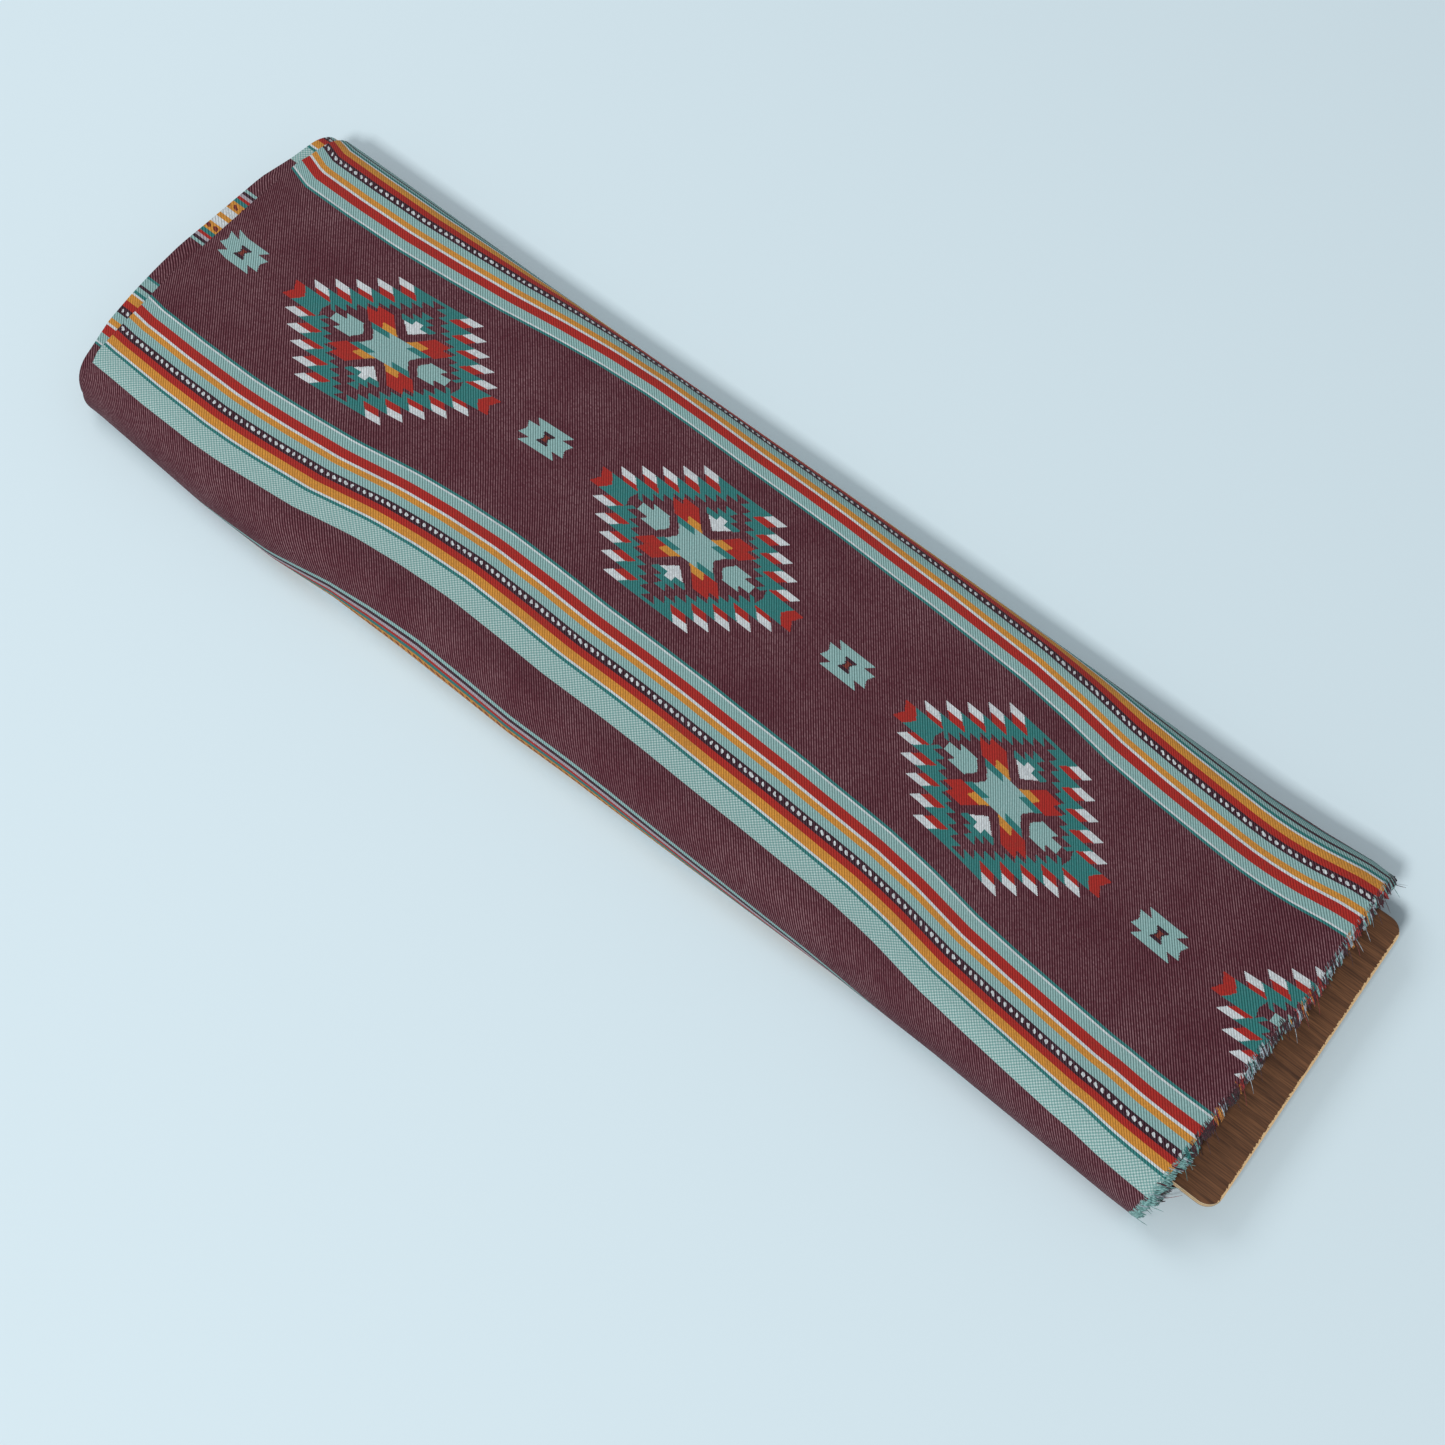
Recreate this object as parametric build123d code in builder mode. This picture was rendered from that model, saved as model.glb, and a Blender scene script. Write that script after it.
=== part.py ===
"""A doubled jacquard cloth wound crosswise round a thin veneered board.

+X runs along the board from the cloth's folded end to its selvedges, +Y goes
to the far long side and +Z is up. The origin is at the middle of the underside.
"""

from build123d import *
import math
import os

os.makedirs("parts", exist_ok=True)

# Driving dimensions, in millimetres.
overall_length = 722.0
overall_width = 212.0
board_length = 702.0
board_width = 168.0
board_corner_radius = 8.0
board_offset_y = -0.6  # the board lies a little nearer to the near side of the winding
board_end_skew = 6.8  # its cut end isn't square: the far corner lies this much shorter
veneer = 0.5
outer_ply = 1.2
core_ply = 1.6
doubled_cloth = 2.2  # two thicknesses of cloth, folded together
pitch = 3.1  # from one turn to the next, which is wound a little loosely
slip_gap = 0.35  # all round the board, so that it can be drawn out
fringe_length = 6.0
fringe_thickness = 1.2

# Each turn is a little out of line with the last: how far its fold lies from the
# left end of the object, and its selvedges from the right end of the board.
turns = {
    "inner_turn": (7.0, 22.0),
    "second_turn": (9.0, 23.0),
    "third_turn": (0.0, 21.5),
    "outer_turn": (12.0, 20.0),
}
tail_fold, tail_selvedge = 11.0, 20.5
tail_end_y = 80.0  # where the cloth's cut end lies, under the far side

# Each side of the winding rounds over gently above and tucks in tightly below. The
# large radius is a share of the side's height, and holds for so many degrees from the top.
far_share, far_turned = 0.833, 70.0
near_share, near_turned = 0.632, 110.0

# Derived places.
left_end = -overall_length / 2
right_end = overall_length / 2
board_thickness = 2 * (veneer + outer_ply) + core_ply
inner_radius = board_thickness / 2 + slip_gap + doubled_cloth / 2
outer_radius = inner_radius + (len(turns) - 1) * pitch
centre_height = inner_radius + len(turns) * pitch + doubled_cloth / 2
board_bottom = centre_height - board_thickness / 2


def heights(number):
    """Height of a turn's centre line under the board and over it."""
    radius = inner_radius + number * pitch
    return centre_height - radius, centre_height + radius


def side(number, far):
    """Centres and radii of the two arcs down one side of a turn, the large one first."""
    over = heights(number)[1]
    under = heights(number if far else number + 1)[0]
    share, turned = (far_share, far_turned) if far else (near_share, near_turned)
    falls = 1 - math.cos(math.radians(turned))
    large = share * (over - under)
    small = (over - under - large * falls) / (2 - falls)
    reach = overall_width / 2 - doubled_cloth / 2 - (len(turns) - 1 - number) * pitch
    between = (large - small) * math.sin(math.radians(turned))
    flat_end = reach - small - between if far else reach - large
    sign = 1 if far else -1
    large_centre = (sign * flat_end, over - large)
    small_centre = (sign * (flat_end + between), under + small)
    return large_centre, large, small_centre, small


def under_start(number):
    """Where a turn's line under the board begins: at the end of the last turn's near side."""
    if number == 0:
        return side(0, far=False)[0][0]
    return side(number - 1, far=False)[2][0]


def one_turn(number):
    """Centre line of a turn: under the board, round the far side, over, and down the near side."""
    under, over = heights(number)
    far_large_centre, far_large, far_small_centre, far_small = side(number, far=True)
    near_large_centre, near_large, near_small_centre, near_small = side(number, far=False)
    Line((under_start(number), under), (far_small_centre[0], under))
    CenterArc(far_small_centre, far_small, start_angle=-90, arc_size=180 - far_turned)
    CenterArc(far_large_centre, far_large, start_angle=90 - far_turned, arc_size=far_turned)
    Line((far_large_centre[0], over), (near_large_centre[0], over))
    CenterArc(near_large_centre, near_large, start_angle=90, arc_size=near_turned)
    CenterArc(near_small_centre, near_small, start_angle=90 + near_turned, arc_size=180 - near_turned)


def tail():
    """Centre line of the last stretch, which lies under the winding and ends at the cut."""
    under = heights(len(turns))[0]
    Line((under_start(len(turns)), under), (tail_end_y, under))


# The cloth, one node a turn. It is one piece, so each turn begins where the last one ends.
for number, (name, (fold, selvedge)) in enumerate(turns.items()):
    start, stop = left_end + fold, right_end - selvedge
    with BuildPart() as cloth_turn:
        with BuildSketch(Plane.YZ.offset(start)):
            with BuildLine():
                one_turn(number)
            trace(line_width=doubled_cloth)
        extrude(amount=stop - start)
    cloth_turn.part.label = name
    export_step(cloth_turn.part, f"parts/{name}.step")

with BuildPart() as under_tail:
    with BuildSketch(Plane.YZ.offset(left_end + tail_fold)):
        with BuildLine():
            tail()
        trace(line_width=doubled_cloth)
    extrude(amount=overall_length - tail_fold - tail_selvedge)
under_tail.part.label = "under_tail"
export_step(under_tail.part, "parts/under_tail.step")

# The cut yarn ends along both selvedges, one strip for each turn and one for the tail.
with BuildPart() as selvedge_fringe:
    for number, (fold, selvedge) in enumerate(turns.values()):
        with BuildSketch(Plane.YZ.offset(right_end - selvedge)):
            with BuildLine():
                one_turn(number)
            trace(line_width=fringe_thickness)
        extrude(amount=fringe_length)
    with BuildSketch(Plane.YZ.offset(right_end - tail_selvedge)):
        with BuildLine():
            tail()
        trace(line_width=fringe_thickness)
    extrude(amount=fringe_length)
selvedge_fringe.part.label = "selvedge_fringe"
export_step(selvedge_fringe.part, "parts/selvedge_fringe.step")

# The board: plies glued face to face, from the back veneer up to the face veneer.
board_layers = {
    "board_back_veneer": veneer,
    "board_back_ply": outer_ply,
    "board_core_ply": core_ply,
    "board_front_ply": outer_ply,
    "board_face_veneer": veneer,
}
board_left = right_end - board_length
near_edge = board_offset_y - board_width / 2
far_edge = board_offset_y + board_width / 2
end_lean = math.atan(board_end_skew / board_width)
near_corner = right_end + board_corner_radius * (1 / math.cos(end_lean) - 1 + math.tan(end_lean))
board_outline = [
    (board_left, near_edge),
    (near_corner, near_edge),
    (near_corner - board_end_skew, far_edge),
    (board_left, far_edge),
]
bottom = board_bottom
for name, thickness in board_layers.items():
    with BuildPart() as board_layer:
        with BuildSketch(Plane.XY.offset(bottom)):
            with BuildLine():
                Polyline(*board_outline, close=True)
            make_face()
            fillet(vertices(), radius=board_corner_radius)
        extrude(amount=thickness)
    board_layer.part.label = name
    export_step(board_layer.part, f"parts/{name}.step")
    bottom += thickness

print("overall height", round(centre_height + outer_radius + doubled_cloth / 2, 2))
print("board from z", round(board_bottom, 2), "to", round(bottom, 2))
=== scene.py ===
"""Looks of a doubled jacquard cloth wound crosswise round a thin veneered board.

Lengths are in metres. The tables give them in millimetres and go through MM.
+X runs from the cloth's folded end to its selvedges, +Y to the far long side, +Z up.
"""

import math
import random

import bpy
import numpy as np
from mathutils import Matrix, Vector


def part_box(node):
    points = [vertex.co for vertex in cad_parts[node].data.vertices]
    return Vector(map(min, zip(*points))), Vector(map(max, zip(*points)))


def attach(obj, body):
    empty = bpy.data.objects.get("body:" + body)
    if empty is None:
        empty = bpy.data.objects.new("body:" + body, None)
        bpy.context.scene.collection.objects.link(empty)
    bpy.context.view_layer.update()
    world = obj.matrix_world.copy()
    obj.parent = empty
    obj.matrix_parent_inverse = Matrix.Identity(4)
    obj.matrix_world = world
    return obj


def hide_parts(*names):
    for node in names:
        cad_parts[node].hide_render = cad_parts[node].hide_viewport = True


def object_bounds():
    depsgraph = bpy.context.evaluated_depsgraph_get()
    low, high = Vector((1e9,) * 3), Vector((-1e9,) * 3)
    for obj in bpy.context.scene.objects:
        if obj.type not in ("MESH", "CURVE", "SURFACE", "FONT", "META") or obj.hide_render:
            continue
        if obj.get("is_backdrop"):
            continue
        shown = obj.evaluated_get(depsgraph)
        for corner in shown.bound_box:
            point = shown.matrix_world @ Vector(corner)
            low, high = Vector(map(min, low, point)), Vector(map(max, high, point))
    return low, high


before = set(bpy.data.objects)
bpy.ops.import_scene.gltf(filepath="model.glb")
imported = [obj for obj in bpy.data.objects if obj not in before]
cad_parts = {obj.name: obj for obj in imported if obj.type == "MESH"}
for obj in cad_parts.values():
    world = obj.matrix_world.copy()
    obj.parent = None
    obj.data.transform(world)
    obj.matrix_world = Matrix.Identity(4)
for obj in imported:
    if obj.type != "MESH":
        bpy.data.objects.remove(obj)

MM = 0.001
random.seed(7)
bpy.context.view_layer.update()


# ---------------------------------------------------------------- the winding, from the CAD

TURNS = ["inner_turn", "second_turn", "third_turn", "outer_turn"]
turn_boxes = [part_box(name) for name in TURNS]
tail_low, tail_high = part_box("under_tail")
doubled_cloth = tail_high.z - tail_low.z
pitch = (turn_boxes[-1][1].z - turn_boxes[0][1].z) / (len(TURNS) - 1)
inner_low, inner_high = turn_boxes[0]
centre_height = (inner_high.z + inner_low.z + pitch) / 2

# Each side of the winding rounds over gently above and tucks in tightly below: the large
# radius is a share of the side's height, and holds for so many degrees from the top.
FAR_SHARE, FAR_TURNED = 0.833, 70
NEAR_SHARE, NEAR_TURNED = 0.632, 110

one_cloth = 1.0 * MM  # a single thickness of the jacquard
ply_offset = (doubled_cloth - one_cloth) / 2


def table(rows, unit=1):
    """Turns (place, mm) rows into a function of the place, straight from row to row."""
    at, values = np.array(sorted(rows), float).T
    return lambda x: np.interp(x, at * unit, values * MM)


# How the pattern lies on the bundle. Along the board: where the medallion row's middle
# runs, how far the pattern is spread, and where the loom's repeats fall.
row_middle = table([
    (-0.357, 13), (-0.348, 11.5), (-0.334, 8.5), (-0.303, 8.5), (-0.268, 9.5), (-0.234, 12.2),
    (-0.200, 15.6), (-0.167, 20.1), (-0.135, 23.5), (-0.103, 25.3), (-0.070, 24.8), (-0.038, 23.7),
    (-0.007, 23.3), (0.023, 22.6), (0.054, 21.1), (0.084, 19.9), (0.113, 18.2), (0.142, 16.5),
    (0.171, 12.8), (0.199, 7.9), (0.226, 5.1), (0.254, 3.1), (0.280, 1.4), (0.307, 1.1),
    (0.335, 2.3), (0.345, 2.3),
])
pattern_spread = table([(-0.352, 1028), (-0.334, 1000), (0.290, 1003), (0.335, 1040)])
loom_place = table([
    (-0.357, -354), (-0.329, -326.6), (-0.225, -226.6), (-0.127, -126.6), (-0.0266, -26.6),
    (0.072, 73.4), (0.173, 173.4), (0.269, 273.4), (0.345, 350),
])
# How much wider or narrower the bundle is than the CAD's, in parts per thousand.
far_slack = table([
    (-0.33, 5), (-0.28, 0), (-0.2, -10), (0, -13), (0.09, -20), (0.2, -35), (0.27, -46), (0.3, -36),
    (0.325, -17), (0.34, -25),
])
near_slack = table([
    (-0.33, -15), (-0.28, 9), (-0.25, 25), (-0.2, 25), (-0.16, -8), (-0.12, -11), (-0.04, -4), (0, -16),
    (0.08, -25), (0.16, -39), (0.22, -34), (0.28, -16), (0.32, -4),
])
# Over the long sides the cloth is drawn tight, which shifts the pattern round the bend, more
# or less at the fold, the middle and the selvedges.
DRAWN_AT = np.array([-0.3, -0.1, 0.3])
drawn_round = [
    table(rows, MM) for rows in (
        [(-120, -2.2), (-102, -1.8), (-78, 0), (84, 0), (99, 0.8), (112, 5)],
        [(-120, -4.9), (-102, -4.2), (-78, 0), (75, 0), (88, 1.5), (104, 1.4), (116, 0.5)],
        [(-120, -3.2), (-102, -2.7), (-78, 0), (75, 0), (88, 0.9), (104, 0.8), (116, 0.3)],
    )
]
# Loom position across the cloth at the middle of each hidden turn's top. The outer turn and
# the tail follow the medallion row instead.
TOP_SHIFT = {"inner_turn": -60, "second_turn": 40, "third_turn": 134.9}

# How far the fold and the selvedges lie inward of the CAD's, by the distance round the
# turn from the middle of its top: negative towards the near side. All in millimetres.
FOLD = {
    "outer_turn": [
        (311, 5), (170, 2), (140, 3), (115, 3.5), (97, 3), (87, 2.8), (78, 1.8), (71, 0), (-27, 0),
        (-47, 2), (-67, 3.5), (-85, 5.5), (-91, 8), (-103, 8.5), (-120, 10.2), (-130, 11), (-160, 6),
        (-300, 3),
    ],
    "third_turn": [
        (300, 8), (150, 5), (115, 7.5), (93, 7.2), (72, 5.1), (52, 1.4), (12, 0.6), (-8, 0), (-27, 1.1),
        (-47, 3.1), (-67, 6.1), (-88, 12.2), (-98, 14), (-107, 16), (-125, 17), (-145, 10),
    ],
    "second_turn": [(300, 8), (110, 8), (80, 4), (50, 1), (-30, 1), (-80, 6), (-110, 12), (-130, 10)],
    "inner_turn": [(300, 4), (100, 8), (80, 3), (-30, 1), (-80, 6), (-100, 12), (-120, 8)],
    "under_tail": [(-400, 2), (-300, 2), (-200, 3), (-160, 6), (-130, 11)],
}
SELVEDGE = {
    "outer_turn": [
        (311, -3), (150, -4), (112, -5.5), (103, -5), (88, -4), (68, -3.5), (58, -3), (33, -2.6),
        (29, -1.8), (8, -2), (3, -4.7), (-25, -4.7), (-30, -3.8), (-80, -3.8), (-95, -4.8), (-108, -5.5),
        (-120, -7.5), (-130, -7), (-160, -5), (-300, -3),
    ],
    "third_turn": [(300, -3), (110, -5), (60, -3), (-60, -3), (-95, -4), (-120, -7)],
    "second_turn": [(100, -6), (85, -3), (-85, -3), (-100, -6)],
    "inner_turn": [(100, -7), (85, -4), (-85, -4), (-100, -7)],
    "under_tail": [(-400, -2), (-200, -4), (-130, -7)],
}


def side(number, far):
    """Centres and radii of the two arcs down one side of a turn, the large one first."""
    low, high = turn_boxes[number]
    over = high.z - doubled_cloth / 2
    under = 2 * centre_height - over - (0 if far else pitch)
    share, turned = (FAR_SHARE, FAR_TURNED) if far else (NEAR_SHARE, NEAR_TURNED)
    falls = 1 - math.cos(math.radians(turned))
    large = share * (over - under)
    small = (over - under - large * falls) / (2 - falls)
    reach = (high.y if far else -low.y) - doubled_cloth / 2
    between = (large - small) * math.sin(math.radians(turned))
    flat_end = reach - small - between if far else reach - large
    sign = 1 if far else -1
    return (sign * flat_end, over - large), large, (sign * (flat_end + between), under + small), small


def line_points(start, stop, height, up, spacing):
    """Points and outward normals along a level run, as rows of y, z and the normal's two."""
    steps = np.linspace(0, 1, max(2, round(abs(stop - start) / spacing)) + 1)
    y = start + (stop - start) * steps
    return np.array([y, height + 0 * y, 0 * y, up + 0 * y])


def arc_points(centre, radius, start, turned, spacing):
    """The same round an arc, from a starting angle and through so many degrees."""
    steps = np.linspace(0, 1, max(3, round(radius * math.radians(turned) / spacing)) + 1)
    angle = np.radians(start + turned * steps)
    ny, nz = np.cos(angle), np.sin(angle)
    return np.array([centre[0] + radius * ny, centre[1] + radius * nz, ny, nz])


def way_round(number, flat_spacing, bend_spacing):
    """A turn's centre line: points, outward normals and the way round from its top's middle."""
    far_large, near_large = side(number, True), side(number, False)
    over = turn_boxes[number][1].z - doubled_cloth / 2
    under = 2 * centre_height - over
    begins = side(number - 1, False)[2][0] if number else near_large[0][0]
    far_centre, far_radius, far_low_centre, far_low_radius = far_large
    near_centre, near_radius, near_low_centre, near_low_radius = near_large
    stretches = [
        line_points(begins, far_low_centre[0], under, -1, flat_spacing * 2),
        arc_points(far_low_centre, far_low_radius, -90, 180 - FAR_TURNED, bend_spacing),
        arc_points(far_centre, far_radius, 90 - FAR_TURNED, FAR_TURNED, bend_spacing),
        line_points(far_centre[0], near_centre[0], over, 1, flat_spacing),
        arc_points(near_centre, near_radius, 90, NEAR_TURNED, bend_spacing),
        arc_points(near_low_centre, near_low_radius, 90 + NEAR_TURNED, 180 - NEAR_TURNED, bend_spacing),
    ]
    before = sum(s.shape[1] - 1 for s in stretches[:3])
    way = np.concatenate([s[:, :-1] for s in stretches[:-1]] + [stretches[-1]], 1)
    travelled = np.concatenate([[0], np.cumsum(np.hypot(np.diff(way[0]), np.diff(way[1])))])
    middle = travelled[before] + way[0][before]
    return np.concatenate([way, [middle - travelled]])


def way_under(spacing):
    """The same for the tail, which lies under the winding as far as the cloth's cut end."""
    last = way_round(len(TURNS) - 1, 10 * MM, 1 * MM)  # only its end is used
    way = line_points(last[0][-1], tail_high.y, (tail_low.z + tail_high.z) / 2, -1, spacing)
    return np.concatenate([way, [last[4][-1] - (way[0] - way[0][0])]])


def cloth_mesh(name, middle, normals, loom, thickness):
    """A sheet with real thickness: both faces, and a rim round all four edges."""
    across, along = middle.shape[:2]
    count = across * along
    faces_out = middle + normals * thickness / 2
    faces_in = middle - normals * thickness / 2
    corners = np.concatenate([faces_out.reshape(-1, 3), faces_in.reshape(-1, 3)])
    cell = np.arange(count).reshape(across, along)
    a, b, c, d = cell[:-1, :-1], cell[1:, :-1], cell[1:, 1:], cell[:-1, 1:]
    quads = np.stack([a, b, c, d], -1).reshape(-1, 4)
    rims = [cell[0, ::-1], cell[-1, :], cell[:, 0], cell[::-1, -1]]
    edges = [np.stack([r[:-1], r[1:], r[1:] + count, r[:-1] + count], -1) for r in rims]
    quads = np.concatenate([quads, quads[:, ::-1] + count, *edges])
    mesh = bpy.data.meshes.new(name)
    mesh.from_pydata(corners, [], quads)
    loom_map = mesh.uv_layers.new(name="loom")
    flat = np.concatenate([loom.reshape(-1, 2)] * 2)[quads.reshape(-1)]
    loom_map.data.foreach_set("uv", (flat / MM).astype(np.float32).ravel())
    mesh.shade_smooth()
    mesh.update()
    piece = bpy.data.objects.new(name, mesh)
    bpy.context.scene.collection.objects.link(piece)
    return piece


SWELL = 0.12 * MM
FLAT_TOP, TOP_FADE = 80 * MM, 25 * MM


def settle(x, y, z, round_place):
    """Sets a point of the bundle where the slack and the hand that wound it left it."""
    y = y * (1 + np.where(y > 0, far_slack(x), near_slack(x)))
    # Faint swells, only over the flat of the top.
    on_top = np.clip((FLAT_TOP - abs(round_place)) / TOP_FADE, 0, 1)
    ripple = np.sin(x * 61 + y * 23) * np.sin(y * 44 - x * 17 + 1.1)
    swell = np.sin(x * 27 + 2) * np.sin(y * 31)
    return x, y, z + on_top * SWELL * (ripple + swell + 1.6)


def loom_position(name, x, round_place):
    """Where across the woven cloth a point of a turn falls."""
    drawn = round_place
    for index, pulled in enumerate(drawn_round):
        drawn = drawn + pulled(round_place) * np.interp(x, DRAWN_AT, np.eye(3)[index])
    if name in TOP_SHIFT:
        return drawn + TOP_SHIFT[name] * MM
    return (drawn - row_middle(x)) / pattern_spread(x)


FOLD_STEPS = 8


def wind(name, way, low_x, high_x, lengthwise):
    """A stretch of the doubled cloth: outer ply, the fold at the left, and inner ply."""
    y, z, ny, nz, round_place = way
    fold = low_x + table(FOLD[name], MM)(round_place)
    selvedge = high_x + table(SELVEDGE[name], MM)(round_place)
    # Points lie closer together near both ends, where the cloth's edge moves in and out.
    crowded = 0.5 - 0.5 * np.cos(np.linspace(0, math.pi, lengthwise))
    steps = 0.6 * np.linspace(0, 1, lengthwise) + 0.4 * crowded
    bend = np.linspace(0, math.pi, FOLD_STEPS + 1)[1:-1]
    bend_x = fold + ply_offset + one_cloth / 2
    flat_x = selvedge + (bend_x - selvedge) * steps[:, None]
    ones, zeros = np.ones(lengthwise), np.zeros(lengthwise)
    x = np.concatenate([flat_x, bend_x - ply_offset * np.sin(bend)[:, None], flat_x[::-1]])
    lift = ply_offset * np.concatenate([ones, np.cos(bend), -ones])[:, None]
    face_x = np.concatenate([zeros, -np.sin(bend), zeros])[:, None]
    face_n = np.concatenate([ones, np.cos(bend), -ones])[:, None]
    # The cloth's own length goes on round the fold and back along the inner ply.
    past_fold = ply_offset * np.concatenate([zeros, bend, math.pi * ones])[:, None]
    run_back = np.concatenate([flat_x * 0 + bend_x, np.tile(bend_x, (len(bend), 1)), flat_x[::-1]])
    own_x = np.where(past_fold > 0, 2 * bend_x - run_back - past_fold, x)
    round_grid = round_place + 0 * x
    x, y_at, z_at = settle(x, y + ny * lift, z + nz * lift, round_grid)
    middle = np.stack([x, y_at, z_at], -1)
    normals = np.stack([face_x + 0 * x, face_n * ny, face_n * nz], -1)
    along = np.where(past_fold > 0, own_x - bend_x + loom_place(bend_x), loom_place(x))
    loom = np.stack([along, loom_position(name, x, round_grid)], -1)
    return cloth_mesh(name + "_cloth", middle, normals, loom, one_cloth)


# How finely each sheet is made: points along it, then spacing round it on the flats and bends.
FINE = (120, 3.2 * MM, 1.6 * MM)
HIDDEN = (60, 6.5 * MM, 2 * MM)
TAIL_SPACING = 6 * MM

cloth_pieces = []
for number, name in enumerate(TURNS + ["under_tail"]):
    lengthwise, flat_spacing, bend_spacing = FINE if name == "outer_turn" else HIDDEN
    if name == "under_tail":
        way = way_under(TAIL_SPACING)
    else:
        way = way_round(number, flat_spacing, bend_spacing)
    low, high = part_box(name)
    piece = wind(name, way, low.x, high.x, lengthwise)
    cloth_pieces.append((name, piece, way, high.x))


# ---------------------------------------------------------------- the fringe

# Which yarns stand out of the selvedge, by distance round the turn from its top's middle,
# as shares of mint, maroon, white, red, orange and teal. The rest is mixed.
MIXED = (15, 55, 24, 4, 1, 1)
TUFT_RUNS = [
    (-130, -75, (80, 6, 8, 0, 0, 6)),
    (-74, -66, (30, 10, 0, 0, 0, 60)),
    (-66, -57, (6, 80, 10, 4, 0, 0)),
    (-54, -47, (0, 20, 10, 50, 20, 0)),
    (-45, -35, (10, 70, 20, 0, 0, 0)),
    (-35, -28, (0, 30, 5, 45, 20, 0)),
    (-27, -17, (20, 10, 66, 4, 0, 0)),
    (12, 16, (0, 30, 10, 60, 0, 0)),
    (16, 20, (0, 0, 40, 10, 50, 0)),
    (20, 30, (4, 26, 10, 56, 4, 0)),
    (45, 51, (86, 8, 6, 0, 0, 0)),
    (57, 62, (0, 20, 10, 10, 60, 0)),
    (62, 69, (0, 20, 6, 70, 4, 0)),
]
NEAR_CORNER = -75 * MM  # beyond it the tufts lean the other way, round the near side
NEW_BUNCH, OWN_COLOUR, LONG_STRAY = 0.3, 0.6, 0.008  # chances, strand by strand
ROOTED = 2.6 * MM  # how far inside the selvedge a strand begins
STRAND_SIDES, STRAND_RINGS = 5, 6


def tuft_colour(round_place):
    """Picks the number of a yarn that fits this place of the selvedge."""
    for low, high, shares in TUFT_RUNS:
        if low * MM < round_place < high * MM:
            return random.choices(range(6), shares)[0]
    return random.choices(range(6), MIXED)[0]


def strand_path(root, outward, ply, reach, lean, here, radius, sway, droop):
    """Points of one yarn, from its root out past the selvedge, leaning and drooping."""
    root_x, root_y, root_z = root
    out_y, out_z = outward
    path = []
    for step in np.linspace(0, 1, STRAND_RINGS):
        slide = lean * step**1.4 + sway * math.sin(3 * step)
        rise = 0.35 * MM * math.sin(math.pi * step)
        lift = ply * ply_offset * (1 - 0.3 * step) + rise - droop * step**2 * max(out_z, 0)
        x, y, z = settle(
            root_x + reach * step,
            root_y + out_y * lift + out_z * slide,
            root_z + out_z * lift - out_y * slide,
            here,
        )
        path.append((x, y, max(z, radius)))
    return path


def add_strand(verts, faces, path, radius):
    """Adds a tube along the path, thinner and closed at its cut end. Gives its face count."""
    base = len(verts)
    for ring, (x, y, z) in enumerate(path):
        thick = radius * (1.0 if ring < STRAND_RINGS - 1 else 0.55)
        for corner in range(STRAND_SIDES):
            turn = 2 * math.pi * corner / STRAND_SIDES
            verts.append((x, y + thick * math.cos(turn), z + thick * math.sin(turn)))
    for ring in range(STRAND_RINGS - 1):
        start = base + ring * STRAND_SIDES
        for corner in range(STRAND_SIDES):
            a, b = start + corner, start + (corner + 1) % STRAND_SIDES
            faces.append((a, b, b + STRAND_SIDES, a + STRAND_SIDES))
    end = base + (STRAND_RINGS - 1) * STRAND_SIDES
    faces.append(tuple(range(end, end + STRAND_SIDES)))
    return (STRAND_RINGS - 1) * STRAND_SIDES + 1


def tufts(name, way, high_x, spacing):
    """Cut ends of weft standing out of both plies' selvedges, in small leaning bunches."""
    y, z, ny, nz, round_place = way
    travelled = round_place[0] - round_place
    selvedge = high_x + table(SELVEDGE[name], MM)(round_place)
    verts, faces, colours = [], [], []
    for ply in (1, -1):
        at = 0.3 * MM
        bunch, lean, reach = 0, -2 * MM, 5 * MM
        while at < travelled[-1]:
            here = round_place[0] - at
            if random.random() < NEW_BUNCH:
                bunch = tuft_colour(here)
                lean = random.uniform(-4.5, -2) * MM
                if here < NEAR_CORNER:
                    lean = random.uniform(1, 3.5) * MM
                reach = random.uniform(4.2, 6.6) * MM
            stray = random.random() < LONG_STRAY
            colour = bunch if random.random() < OWN_COLOUR else tuft_colour(here)
            radius = random.uniform(0.3, 0.52) * MM
            sway = random.uniform(-1, 1) * MM
            droop = random.uniform(0.1, 1.3) * MM
            strand_reach = reach * random.uniform(0.85, 1.1)
            if stray:
                radius, strand_reach, strand_lean = 0.16 * MM, 11 * MM, lean * 2
            else:
                strand_lean = lean * random.uniform(0.8, 1.15)
            edge, root_y, root_z, out_y, out_z = (
                np.interp(at, travelled, values) for values in (selvedge, y, z, ny, nz))
            path = strand_path(
                (edge - ROOTED, root_y, root_z), (out_y, out_z), ply,
                strand_reach, strand_lean, here, radius, sway, droop)
            colours += [colour] * add_strand(verts, faces, path, radius)
            at += random.uniform(0.8, 1.2) * spacing
    return verts, faces, colours


# ---------------------------------------------------------------- materials


def hex_colour(text):
    """sRGB hex to the linear colour that a shader socket takes."""
    parts = [int(text[i:i + 2], 16) / 255 for i in (1, 3, 5)]
    return [c / 12.92 if c <= 0.04045 else ((c + 0.055) / 1.055) ** 2.4 for c in parts] + [1]


def add(tree, kind, *ordered, named=None, **settings):
    """Adds a node with its settings, fills or links its inputs and gives its first output."""
    node = tree.nodes.new("ShaderNode" + kind)
    for key, value in settings.items():
        setattr(node, key, value)
    inputs = [s for s in node.inputs if s.enabled]
    pairs = list(zip(inputs, ordered))
    pairs += [(next(s for s in inputs if s.name == key), value) for key, value in (named or {}).items()]
    for socket, value in pairs:
        if isinstance(value, bpy.types.NodeSocket):
            tree.links.new(value, socket)
        else:
            socket.default_value = value
    return next(s for s in node.outputs if s.enabled)


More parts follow.
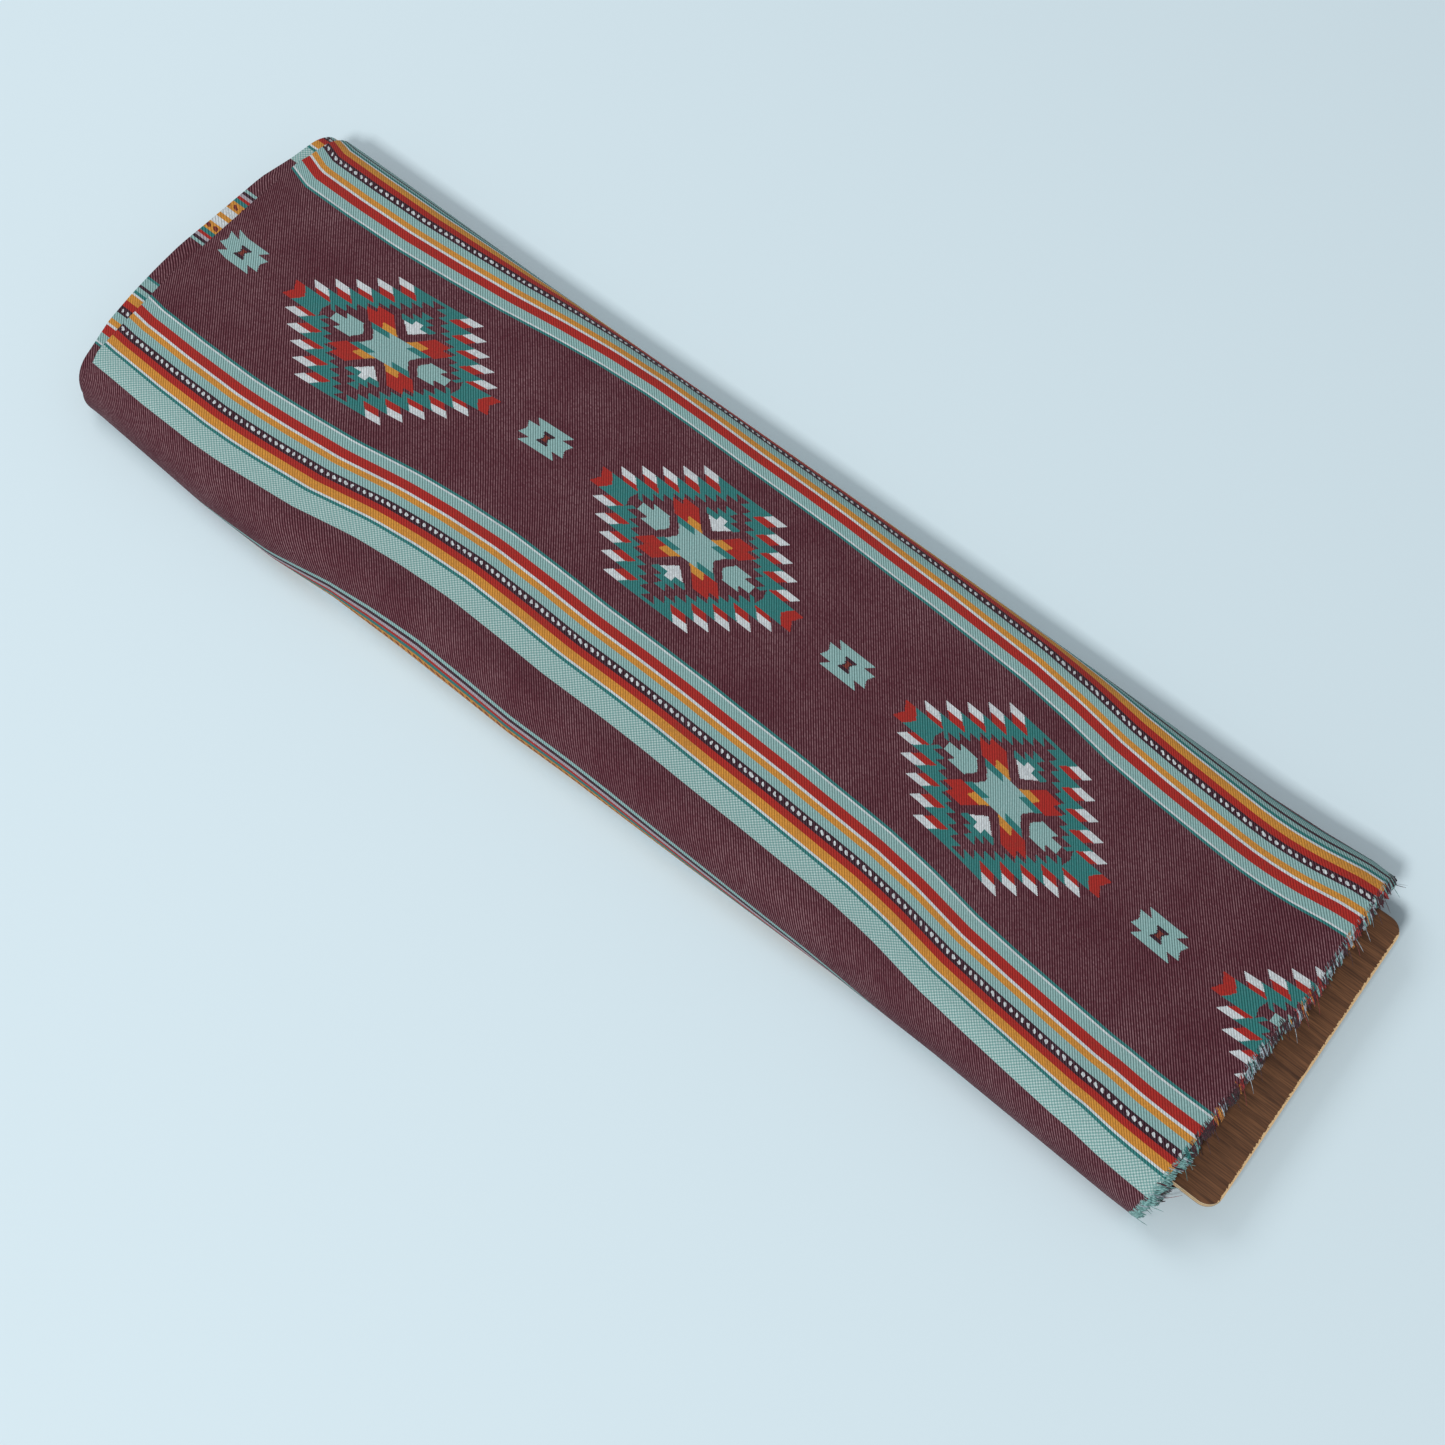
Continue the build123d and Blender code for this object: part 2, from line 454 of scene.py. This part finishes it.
def steps_of(ramp_output, stops):
    """Gives a colour ramp flat bands, each from its own place."""
    ramp = ramp_output.node.color_ramp
    ramp.interpolation = "CONSTANT"
    for index, (place, colour) in enumerate(stops):
        stop = ramp.elements[index] if index < 2 else ramp.elements.new(place)
        stop.position = place
        stop.color = colour


def new_material(name):
    """An empty material and its node tree."""
    material = bpy.data.materials.new(name)
    material.use_nodes = True
    tree = material.node_tree
    tree.nodes.clear()
    return material, tree


def close_material(tree, shader):
    """Wires the shader to the material's output."""
    output = tree.nodes.new("ShaderNodeOutputMaterial")
    tree.links.new(shader, output.inputs["Surface"])


# The yarns of the jacquard: the one that shows, and the one that shows between its floats, mixed in on
# the rib crests, where on the dark yarns its lighter colour is also a painted glint.
YARNS = [
    ("maroon", "#450c1d", "#7f6064"),
    ("teal", "#246f6c", "#467170"),
    ("white", "#ced3d4", "#868d92"),
    ("mint", "#7da29f", "#8fa5a4"),
    ("red", "#a6231e", "#773026"),
    ("orange", "#cb8a34", "#926438"),
    ("dark", "#2c0e1a", "#57404a"),
    ("brown", "#6a2420", "#7a4a3a"),
    ("grid", "#6e9894", "#a2b3b0"),
    ("lilac", "#a39ba2", "#7c767e"),
]
NUMBER = {name: index for index, (name, _, _) in enumerate(YARNS)}
SHED = 16  # numbers of yarn that a grey level can carry


def shed_level(name):
    """A yarn's number as the grey that stands for it until the last ramps colour it."""
    level = (NUMBER[name] + 0.5) / SHED
    return (level, level, level, 1)


# Stripes on each side of the field, outward from its edge, in millimetres.
FIELD = 52.45
BORDER = [
    (1.3, "teal"), (0.95, "white"), (5.2, "mint"), (5.3, "red"), (1.3, "white"), (3.3, "orange"),
    (4.6, "mint"), (4.6, "dark"), (3.8, "red"), (4.5, "orange"), (1.3, "white"), (1.7, "teal"),
]
NEAR_BORDER = BORDER + [(11.6, "grid"), (10, "maroon")]
FAR_BORDER = BORDER + [(2.5, "mint"), (2, "dark"), (5, "mint"), (1.3, "teal"), (10, "maroon")]
NARROW_BAND = [
    (1.4, "orange"), (4.5, "white"), (5.2, "orange"), (2.5, "teal"), (1.8, "red"), (1.9, "lilac"),
    (1.8, "dark"), (1.8, "mint"), (2, "maroon"),
]
NARROW_HALF = sum(width for width, _ in NARROW_BAND[:-1])
# The repeat runs from the middle of one narrow band to the next, past the field's middle.
NEAR_HALF, FAR_HALF = 153, 155

# Along the cloth a medallion and a small motif take turns, 100 mm apart.
MOTIF_GAP = 100
MEDALLION_AT = 1026.6  # a medallion's middle lies at -26.6 along the loom
PICK = 0.6  # slanted edges step by this much
HALF_HEIGHT = 39.2  # of a medallion
# Its ring ends outside in teeth, each a red and a white half: where the outer edge starts,
# how much it leans per row, and how far it falls back at each new tooth.
TOOTH_ROWS, FIRST_TOOTH, LAST_TOOTH, TOOTH_LENGTH = 7.05, 3.95, 4, 9.5
OUTER_START, OUTER_LEAN, TOOTH_BACK = 37.5, 1.14, 16
# Inside it ends in steps, each leaning a little and set back from the one before.
STEP_ROWS, STEP_SHIFT = 3.5, 1.1
INNER_START, INNER_LEAN, STEP_BACK = 41.8, 3, 4.1

# One quarter of a medallion, painted in this order: yarn, rows from and to, then the left
# and right edges, each as a distance and how much it leans per row.
MEDALLION = [
    ("teal", 0, 4.9, (44, -0.3), (56, 0.85)),
    ("red", 0, 4.9, (56, 0.85), (63.5, 0.6)),
    ("mint", 0, 4.9, (0, 0), (11.5, 0.75)),
    ("mint", 0, 4.9, (17.5, 0.85), (28, 0.85)),
    ("mint", 0, 2.3, (17.5, 0.85), (37, 0)),
    ("teal", 4.9, 8.3, (0, 0), (11.8, 0.9)),
    ("mint", 4.9, 8.3, (0, 0), (0.8, 0.85)),
    ("red", 8.4, 14.8, (0, 0), (12.7, 1.03)),
    ("orange", 8.4, 12, (-7.3, 1.2), (6.8, 0.65)),
    ("maroon", 8.4, 12, (0, 0), (-7.3, 1.2)),
    ("maroon", 12, 14.8, (0, 0), (-5.7, 1.04)),
    ("red", 14.8, 18.2, (-5.7, 1.04), (10.6, 0.7)),
    ("white", 12.8, 19.2, (0, 0), (-15.4, 1.2)),
    ("white", 19.2, 22, (0, 0), (2, 0)),
    ("teal", 19.2, 21.8, (2, 0), (-7.6, 0.85)),
    ("teal", 21.8, 25.2, (0, 0), (-14.8, 0.85)),
    ("teal", 25.2, 28.7, (0, 0), (-20.6, 0.85)),
]
# Half of the small motif between medallions, from its own middle.
SMALL_MOTIF = [
    ("mint", 3.7, 8, (0, 0), (4.2, 0.95)),
    ("mint", 0, 3.9, (0, 0), (12.5, 0.5)),
    ("dark", 0, 3.3, (0, 0), (1.9, 0.65)),
    ("brown", 0, 1.7, (0, 0), (1.4, 0.3)),
]


def paint(tree, shed, patches, along, across):
    """Lays patches of yarn over the shed numbers so far."""
    for yarn, low, high, (left, left_lean), (right, right_lean) in patches:
        rows = add(tree, "Math", across, (low + high) / 2, (high - low) / 2, operation="COMPARE")
        slid = add(tree, "Math", across, -right_lean, along, operation="MULTIPLY_ADD")
        before = add(tree, "Math", slid, right, operation="LESS_THAN")
        inside = add(tree, "Math", rows, before, operation="MULTIPLY")
        if (left, left_lean) != (0, 0):
            slid = add(tree, "Math", across, -left_lean, along, operation="MULTIPLY_ADD")
            after = add(tree, "Math", slid, left, operation="GREATER_THAN")
            inside = add(tree, "Math", inside, after, operation="MULTIPLY")
        shed = add(tree, "Mix", inside, shed, shed_level(yarn)[0], data_type="FLOAT")
    return shed


def stripes(tree, across, start, bands):
    """Shed numbers of a run of stripes that begins at a distance from the middle."""
    length = sum(width for width, _ in bands)
    place = add(tree, "MapRange", across, start, start + length)
    output = add(tree, "ValToRGB", place)
    stops, at = [], 0
    for width, yarn in bands:
        stops.append((at / length, shed_level(yarn)))
        at += width
    steps_of(output, stops)
    return output


def spots(tree, along, across, middle, every, half_long, half_wide):
    """Where a row of rounded spots lies, one so many millimetres along."""
    along = add(tree, "Math", along, every / 2, operation="PINGPONG")
    along = add(tree, "Math", along, half_long, operation="DIVIDE")
    across = add(tree, "Math", across, middle, operation="SUBTRACT")
    across = add(tree, "Math", across, half_wide, operation="DIVIDE")
    long_square = add(tree, "Math", along, 2, operation="POWER")
    square = add(tree, "Math", across, across, long_square, operation="MULTIPLY_ADD")
    return add(tree, "Math", square, 1, operation="LESS_THAN")


def field_yarns(tree, along, across):
    """Shed numbers of the maroon field with its medallions and small motifs."""
    col = add(tree, "Math", along, PICK, operation="SNAP")
    row = add(tree, "Math", across, PICK, operation="SNAP")
    tooth_count = add(tree, "Math", row, FIRST_TOOTH, operation="SUBTRACT")
    tooth_count = add(tree, "Math", tooth_count, TOOTH_ROWS, operation="DIVIDE")
    tooth = add(tree, "Math", tooth_count, operation="FLOOR")
    tooth = add(tree, "Clamp", tooth, 0, LAST_TOOTH)
    outer_edge = add(tree, "Math", row, OUTER_LEAN, OUTER_START, operation="MULTIPLY_ADD")
    outer_edge = add(tree, "Math", tooth, -TOOTH_BACK, outer_edge, operation="MULTIPLY_ADD")
    step_count = add(tree, "Math", row, STEP_SHIFT, operation="ADD")
    step_count = add(tree, "Math", step_count, STEP_ROWS, operation="DIVIDE")
    step_lean = add(tree, "Math", step_count, operation="FRACT")
    step_lean = add(tree, "Math", step_lean, INNER_LEAN, INNER_START, operation="MULTIPLY_ADD")
    step = add(tree, "Math", step_count, operation="FLOOR")
    inner_edge = add(tree, "Math", step, -STEP_BACK, step_lean, operation="MULTIPLY_ADD")
    past_outer = add(tree, "Math", col, outer_edge, operation="SUBTRACT")
    past_inner = add(tree, "Math", col, inner_edge, operation="GREATER_THAN")
    medallion_rows = add(tree, "Math", row, HALF_HEIGHT, operation="LESS_THAN")

    ring = add(tree, "Math", past_outer, 0, operation="LESS_THAN")
    ring = add(tree, "Math", ring, past_inner, operation="MULTIPLY")
    ring = add(tree, "Math", ring, medallion_rows, operation="MULTIPLY")
    shed = add(tree, "Mix", ring, shed_level("maroon")[0], shed_level("teal")[0], data_type="FLOAT")

    half_tooth = TOOTH_LENGTH / 2
    in_tooth = add(tree, "Math", past_outer, half_tooth, half_tooth, operation="COMPARE")
    in_tooth = add(tree, "Math", in_tooth, medallion_rows, operation="MULTIPLY")
    above_tip = add(tree, "Math", row, 4.9, operation="GREATER_THAN")
    in_tooth = add(tree, "Math", in_tooth, above_tip, operation="MULTIPLY")
    upper_half = add(tree, "Math", tooth_count, operation="FRACT")
    upper_half = add(tree, "Math", upper_half, 0.5, operation="GREATER_THAN")
    tooth_yarn = add(
        tree, "Mix", upper_half, shed_level("red")[0], shed_level("white")[0], data_type="FLOAT")
    shed = add(tree, "Mix", in_tooth, shed, tooth_yarn, data_type="FLOAT")

    shed = paint(tree, shed, MEDALLION, col, row)
    from_small = add(tree, "Math", MOTIF_GAP, col, operation="SUBTRACT")
    return paint(tree, shed, SMALL_MOTIF, from_small, row)


def woven_yarns(tree, loom, u, v):
    """Shed numbers over the whole cloth: which yarn shows at each place of the repeat."""
    # Along from a medallion's middle, and across from the field's middle.
    along = add(tree, "Math", u, MEDALLION_AT, operation="ADD")
    along = add(tree, "Math", along, MOTIF_GAP, operation="PINGPONG")
    signed = add(tree, "Math", v, FAR_HALF, -NEAR_HALF, operation="WRAP")
    across = add(tree, "Math", signed, operation="ABSOLUTE")
    far_side = add(tree, "Math", signed, 0, operation="GREATER_THAN")

    near = stripes(tree, across, FIELD, NEAR_BORDER)
    far = stripes(tree, across, FIELD, FAR_BORDER)
    border = add(tree, "Mix", far_side, near, far, data_type="RGBA")
    from_near = add(tree, "Math", signed, NEAR_HALF, operation="ADD")
    from_far = add(tree, "Math", FAR_HALF, signed, operation="SUBTRACT")
    from_narrow = add(tree, "Math", from_near, from_far, operation="MINIMUM")
    narrow = stripes(tree, from_narrow, 0, NARROW_BAND)
    in_narrow = add(tree, "Math", from_narrow, NARROW_HALF, operation="LESS_THAN")
    shed = add(tree, "Mix", in_narrow, border, narrow, data_type="RGBA")
    in_field = add(tree, "Math", across, FIELD, operation="LESS_THAN")
    shed = add(tree, "Mix", in_field, shed, field_yarns(tree, along, across), data_type="RGBA")

    # Rounded white floats on the dotted stripe's dark ground, one every 3.7 mm, and brown ones
    # on the narrow band's orange, one every 4 mm.
    uneven = add(tree, "TexNoise", loom, named={"Scale": 0.4, "Detail": 1}, noise_dimensions="2D")
    slid = add(tree, "Math", uneven, 2.2, u, operation="MULTIPLY_ADD")
    slid = add(tree, "Math", v, 0.55, slid, operation="MULTIPLY_ADD")
    dotted_at = FIELD + sum(width for width, _ in BORDER[:7]) + BORDER[7][0] / 2
    dots = spots(tree, slid, across, dotted_at, 3.7, 0.95, 1.05)
    shed = add(tree, "Mix", dots, shed, shed_level("white"), data_type="RGBA")
    blob_at = NARROW_BAND[0][0] + NARROW_BAND[1][0] + NARROW_BAND[2][0] / 2
    blobs = spots(tree, slid, from_narrow, blob_at, 4, 1.3, 1.4)
    return add(tree, "Mix", blobs, shed, shed_level("brown"), data_type="RGBA")


RIB_PITCH = 1.6  # millimetres: woven 1.15 mm apart, drawn coarser to read from a metre away
CHECK_PITCH = 1.9  # millimetres: woven at 1.2 mm, drawn coarser likewise


def jacquard():
    """Cotton jacquard, double-woven in a 2/1 twill: matt, with slanting ribs that catch light, which is
    painted into the colour as glint and shade.
    """
    material, tree = new_material("cotton jacquard, twill ground")
    loom = add(tree, "UVMap", uv_map="loom")
    split = add(tree, "SeparateXYZ", loom).node
    u, v = split.outputs["X"], split.outputs["Y"]
    shed = woven_yarns(tree, loom, u, v)

    # Twill ribs slant across the cloth, and on their crests the second yarn's colour is mixed in
    # unevenly: partly the real yarn, partly a painted glint.
    rib_count = add(tree, "Math", v, 0.83, u, operation="MULTIPLY_ADD")
    rib_count = add(tree, "Math", rib_count, RIB_PITCH, operation="DIVIDE")
    rib_wave = add(tree, "Math", rib_count, 2 * math.pi, operation="MULTIPLY")
    rib_wave = add(tree, "Math", rib_wave, operation="SINE")
    crest = add(tree, "MapRange", rib_wave, 0, 0.8)
    pick = add(tree, "Math", v, 0.9, operation="DIVIDE")
    cell = add(
        tree, "CombineXYZ",
        add(tree, "Math", rib_count, operation="FLOOR"), add(tree, "Math", pick, operation="FLOOR"))
    float_seen = add(tree, "TexWhiteNoise", cell, noise_dimensions="2D")
    float_seen = add(tree, "MapRange", float_seen, 0, 1, 0.4, 1)
    # Broad patches, at random, where less of the painted glint is mixed in.
    glint_patches = add(tree, "TexNoise", loom, named={"Scale": 0.03, "Detail": 4}, noise_dimensions="2D")
    glint_patches = add(tree, "MapRange", glint_patches, 0.3, 0.7, 0.55, 1)
    back_yarn_and_glint = add(tree, "Math", crest, float_seen, operation="MULTIPLY")
    back_yarn_and_glint = add(tree, "Math", back_yarn_and_glint, glint_patches, operation="MULTIPLY")
    # Painted shade darkens the grooves between the ribs and painted highlight lightens their crests.
    shade = add(tree, "MapRange", rib_wave, -0.9, 0.3, 0.45, 1.12)

    # The wide mint band is a plain weave of two yarns: a fine check instead of ribs.
    waves = []
    for direction in (u, v):
        wave = add(tree, "Math", direction, 2 * math.pi / CHECK_PITCH, operation="MULTIPLY")
        waves.append(add(tree, "Math", wave, operation="SINE"))
    check = add(tree, "MapRange", add(tree, "Math", *waves, operation="MULTIPLY"), -0.3, 0.5)
    check_shade = add(tree, "MapRange", check, 0, 1, 0.86, 1.08)
    on_check = add(tree, "Math", shed, shed_level("grid")[0], 0.01, operation="COMPARE")
    back_yarn_and_glint = add(tree, "Mix", on_check, back_yarn_and_glint, check, data_type="FLOAT")
    shade = add(tree, "Mix", on_check, shade, check_shade, data_type="FLOAT")

    shown = add(tree, "ValToRGB", shed)
    steps_of(shown, [(i / SHED, hex_colour(face)) for i, (_, face, _) in enumerate(YARNS)])
    between = add(tree, "ValToRGB", shed)
    steps_of(between, [(i / SHED, hex_colour(back)) for i, (_, _, back) in enumerate(YARNS)])
    colour = add(tree, "Mix", back_yarn_and_glint, shown, between, data_type="RGBA")
    fuzz = add(tree, "TexNoise", loom, named={"Scale": 1.1, "Detail": 2}, noise_dimensions="2D")
    fuzz_shade = add(tree, "MapRange", fuzz, 0.2, 0.8, 0.85, 1.15)
    shade = add(tree, "Math", shade, fuzz_shade, operation="MULTIPLY")
    # The painted rib shade and highlight, with the check's and the fuzz's tone, multiply the colour.
    colour = add(tree, "Mix", 1.0, colour, shade, data_type="RGBA", blend_type="MULTIPLY")

    height = add(tree, "Math", fuzz, 0.6, operation="MULTIPLY")
    height = add(tree, "Math", rib_wave, 0.5, height, operation="MULTIPLY_ADD")
    bump = add(tree, "Bump", named={"Height": height, "Strength": 0.5, "Distance": 0.12 * MM})
    shader = add(tree, "BsdfPrincipled", named={
        "Base Color": colour, "Roughness": 0.86, "IOR": 1.53, "Normal": bump,
        "Specular IOR Level": 0.2, "Sheen Weight": 0.03, "Sheen Roughness": 0.5,
    })
    close_material(tree, shader)
    return material


def yarn_material(name, face, shadow):
    """Cotton yarn, cut loose: matt and hairy, with a painted shadow where strands part."""
    material, tree = new_material(f"cotton yarn, {name}")
    place = add(tree, "TexCoord").node.outputs["Object"]
    strands = add(tree, "TexNoise", place, named={"Scale": 900, "Detail": 2})
    mixed = add(tree, "MapRange", strands, 0.35, 0.65)
    colour = add(tree, "Mix", mixed, hex_colour(shadow), hex_colour(face), data_type="RGBA")
    bump = add(tree, "Bump", named={"Height": strands, "Strength": 0.4, "Distance": 0.1 * MM})
    shader = add(tree, "BsdfPrincipled", named={
        "Base Color": colour, "Roughness": 0.9, "IOR": 1.53, "Normal": bump, "Sheen Weight": 0.15,
    })
    close_material(tree, shader)
    return material


# The board's end is cut 6.8 mm out of square, its far corner the shorter.
board_low, board_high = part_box("board_face_veneer")
BOARD_SKEW = 6.8 * MM / (board_high.y - board_low.y)
BOARD_END = board_high.x + BOARD_SKEW * board_low.y


def veneer():
    """Walnut-brown veneer, sanded and unsealed: fine straight grain along X with open pores."""
    material, tree = new_material("brown veneer, sanded")
    place = add(tree, "TexCoord").node.outputs["Object"]
    stretched = add(tree, "Mapping", place, named={"Scale": (14, 260, 260)})
    grain = add(tree, "TexNoise", stretched, named={"Scale": 1.0, "Detail": 5, "Roughness": 0.65})
    lines = add(tree, "Mapping", place, named={"Scale": (60, 1500, 1500)})
    pores = add(tree, "TexNoise", lines, named={"Scale": 1.0, "Detail": 3})
    tone = add(tree, "MapRange", grain, 0.3, 0.7)
    colour = add(tree, "Mix", tone, hex_colour("#4a2d1a"), hex_colour("#734c30"), data_type="RGBA")
    dark = add(tree, "MapRange", pores, 0.38, 0.58, 0.6, 1.08)
    colour = add(tree, "Mix", 1.0, colour, dark, data_type="RGBA", blend_type="MULTIPLY")

    # Sanded through along the skewed end, where the pale ply shows in a ragged line.
    split = add(tree, "SeparateXYZ", place).node
    x, y = split.outputs["X"], split.outputs["Y"]
    leaning = add(tree, "Math", y, BOARD_SKEW, x, operation="MULTIPLY_ADD")
    inward = add(tree, "Math", BOARD_END, leaning, operation="SUBTRACT")
    ragged = add(tree, "TexNoise", place, named={"Scale": 900, "Detail": 3})
    reach = add(tree, "MapRange", ragged, 0.35, 0.65, 0.2 * MM, 1.0 * MM)
    bare = add(tree, "Math", inward, reach, operation="LESS_THAN")
    colour = add(tree, "Mix", bare, colour, hex_colour("#c9a87c"), data_type="RGBA")
    bump = add(tree, "Bump", named={"Height": pores, "Strength": 0.35, "Distance": 0.15 * MM})
    shader = add(tree, "BsdfPrincipled", named={
        "Base Color": colour, "Roughness": 0.62, "IOR": 1.5, "Normal": bump, "Specular IOR Level": 0.3,
    })
    close_material(tree, shader)
    return material


def ply_edge(name, pale, deep):
    """Raw sawn plywood edge: dry and pale, with short torn fibres and small dark checks."""
    material, tree = new_material(name)
    place = add(tree, "TexCoord").node.outputs["Object"]
    fibres = add(tree, "Mapping", place, named={"Scale": (350, 350, 2600)})
    torn = add(tree, "TexNoise", fibres, named={"Scale": 1.0, "Detail": 4, "Roughness": 0.7})
    tone = add(tree, "MapRange", torn, 0.3, 0.7)
    colour = add(tree, "Mix", tone, hex_colour(deep), hex_colour(pale), data_type="RGBA")
    bump = add(tree, "Bump", named={"Height": torn, "Strength": 0.6, "Distance": 0.3 * MM})
    shader = add(tree, "BsdfPrincipled", named={
        "Base Color": colour, "Roughness": 0.85, "IOR": 1.5, "Normal": bump,
    })
    close_material(tree, shader)
    return material


cloth_material = jacquard()
yarn_materials = [
    yarn_material("mint", "#7fa9a6", "#44706d"),
    yarn_material("maroon", "#43131f", "#1f0a11"),
    yarn_material("white", "#a9b5bc", "#5f6d75"),
    yarn_material("red", "#95201f", "#571012"),
    yarn_material("orange", "#bd7c28", "#7c4a18"),
    yarn_material("teal", "#1d6f6c", "#0f4443"),
]

# Fringes: one piece a turn, since the cloth's weft is cut all along both selvedges.
for name, piece, way, high_x in cloth_pieces:
    piece.data.materials.append(cloth_material)
    verts, faces, colours = tufts(name, way, high_x, (0.36 if name == "outer_turn" else 0.6) * MM)
    mesh = bpy.data.meshes.new(name + "_fringe")
    mesh.from_pydata(verts, [], faces)
    for material in yarn_materials:
        mesh.materials.append(material)
    mesh.polygons.foreach_set("material_index", colours)
    mesh.shade_smooth()
    mesh.update()
    fringe = bpy.data.objects.new(name + "_fringe", mesh)
    bpy.context.scene.collection.objects.link(fringe)
    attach(fringe, "cloth")
    if name == "outer_turn":
        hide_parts("selvedge_fringe")
    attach(piece, "cloth")
    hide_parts(name)

board_materials = {
    "board_face_veneer": veneer(),
    "board_front_ply": ply_edge("birch ply edge, sawn", "#dcc29c", "#b08f66"),
    "board_core_ply": ply_edge("birch core ply edge, sawn", "#cdae84", "#9c7b54"),
}
board_materials["board_back_veneer"] = board_materials["board_face_veneer"]
board_materials["board_back_ply"] = board_materials["board_front_ply"]
for name, material in board_materials.items():
    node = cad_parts[name]
    node.data.materials.clear()
    node.data.materials.append(material)


# ---------------------------------------------------------------- floor, light and camera

floor_mesh = bpy.data.meshes.new("paper_floor")
floor_mesh.from_pydata([(-3, -3, 0), (3, -3, 0), (3, 3, 0), (-3, 3, 0)], [], [(0, 1, 2, 3)])
floor = bpy.data.objects.new("paper_floor", floor_mesh)
bpy.context.scene.collection.objects.link(floor)
paper, tree = new_material("pale paper")
shader = add(tree, "BsdfPrincipled", named={"Base Color": hex_colour("#ccdbe1"), "Roughness": 0.9})
close_material(tree, shader)
floor_mesh.materials.append(paper)
floor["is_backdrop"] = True

world = bpy.data.worlds.new("studio")
bpy.context.scene.world = world
world.use_nodes = True
world.node_tree.nodes["Background"].inputs["Color"].default_value = hex_colour("#e2eaf0")
world.node_tree.nodes["Background"].inputs["Strength"].default_value = 0.5


def soft_box(name, place, aim, size, power):
    """A square soft light, turned towards its aim."""
    light = bpy.data.lights.new(name, "AREA")
    light.shape = "SQUARE"
    light.size = size
    light.energy = power
    lamp = bpy.data.objects.new(name, light)
    lamp.location = place
    lamp.rotation_mode = "QUATERNION"
    lamp.rotation_quaternion = (Vector(aim) - Vector(place)).to_track_quat("-Z", "Y")
    bpy.context.scene.collection.objects.link(lamp)
    lamp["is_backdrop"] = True


soft_box("front", (0.5, -3.3, 3.5), (0, 0, 0), 0.8, 150)
soft_box("window_side", (-1.8, 0.3, 2.2), (0, 0, 0), 1.4, 22)

camera_data = bpy.data.cameras.new("camera")
camera_data.lens = 57.3
camera_data.sensor_width = 36
camera = bpy.data.objects.new("camera", camera_data)
camera.location = (0.3482, -0.4097, 1.0304)
camera.rotation_mode = "QUATERNION"
look = Vector((0.0449, -0.0425, 0.0318)) - camera.location
camera.rotation_quaternion = look.to_track_quat("-Z", "Y")
bpy.context.scene.collection.objects.link(camera)
bpy.context.scene.camera = camera

bpy.context.scene.view_settings.view_transform = "Standard"

low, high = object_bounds()
